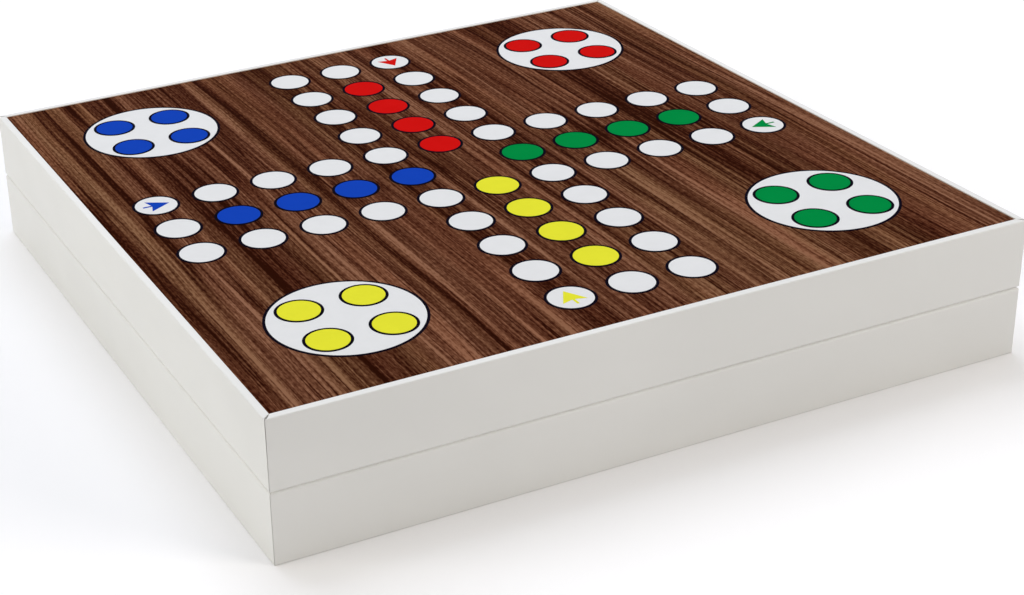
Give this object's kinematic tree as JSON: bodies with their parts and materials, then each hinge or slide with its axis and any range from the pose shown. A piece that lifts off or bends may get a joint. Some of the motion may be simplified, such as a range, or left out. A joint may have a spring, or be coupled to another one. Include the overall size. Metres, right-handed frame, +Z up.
{
  "type": "folding ludo board box",
  "caption": "Square hinged game box of two shallow white halves; the walnut-look ludo board is its lid, with a divided tray for pawns and dice inside.",
  "frame": {"origin": "middle of the closed box's flat underside", "axes": "+X to the right along the front, +Y from the front to the hinged back, +Z up through the board"},
  "size_m": [0.27, 0.2722, 0.049],
  "materials": {
    "white_lacquer": "satin white lacquer",
    "walnut_board": "matt walnut decor, printed grain",
    "felt_lining": "short pressed felt",
    "divider_wood": "clear matt lacquer",
    "hinge_brass": "polished, lightly brushed",
    "brass_screw": "turned",
    "hinge_pin_steel": "drawn wire",
    "nickel_magnet": "nickel plated",
    "print_black": "matt print",
    "print_white": "matt print",
    "print_blue": "matt print",
    "print_red": "matt print",
    "print_green": "matt print",
    "print_yellow": "matt print",
    "pawn_blue": "gloss",
    "pawn_red": "gloss",
    "pawn_green": "gloss",
    "pawn_yellow": "gloss",
    "die_ivory": "gloss"
  },
  "bodies": {
    "base": {"base_front_rail": "white_lacquer", "base_back_rail": "white_lacquer", "base_left_rail": "white_lacquer", "base_right_rail": "white_lacquer", "base_panel": "walnut_board", "base_lining": "felt_lining", "base_magnets": "nickel_magnet", "base_hinge_screws": "brass_screw", "long_divider": "divider_wood", "cross_divider_1": "divider_wood", "cross_divider_2": "divider_wood", "cross_divider_3": "divider_wood", "cross_divider_4": "divider_wood", "left_hinge_base_leaf": "hinge_brass", "left_hinge_pin": "hinge_pin_steel", "right_hinge_base_leaf": "hinge_brass", "right_hinge_pin": "hinge_pin_steel", "pawn_blue_1": "pawn_blue", "pawn_blue_2": "pawn_blue", "pawn_blue_3": "pawn_blue", "pawn_blue_4": "pawn_blue", "pawn_red_1": "pawn_red", "pawn_red_2": "pawn_red", "pawn_red_3": "pawn_red", "pawn_red_4": "pawn_red", "pawn_green_1": "pawn_green", "pawn_green_2": "pawn_green", "pawn_green_3": "pawn_green", "pawn_green_4": "pawn_green", "pawn_yellow_1": "pawn_yellow", "pawn_yellow_2": "pawn_yellow", "pawn_yellow_3": "pawn_yellow", "pawn_yellow_4": "pawn_yellow", "die_1": "die_ivory", "die_2": "die_ivory"},
    "lid": {"lid_front_rail": "white_lacquer", "lid_back_rail": "white_lacquer", "lid_left_rail": "white_lacquer", "lid_right_rail": "white_lacquer", "board_panel": "walnut_board", "lid_lining": "felt_lining", "lid_magnets": "nickel_magnet", "lid_hinge_screws": "brass_screw", "print_outlines": "print_black", "print_white": "print_white", "print_blue": "print_blue", "print_red": "print_red", "print_green": "print_green", "print_yellow": "print_yellow", "left_hinge_lid_leaf": "hinge_brass", "right_hinge_lid_leaf": "hinge_brass"}
  },
  "joints": [
    {"name": "lid_hinge", "type": "hinge", "parent": "base", "child": "lid", "pos_m": [0, 0.1352, 0.0245], "axis": [-1, 0, 0], "range_deg": [0, 180]}
  ]
}
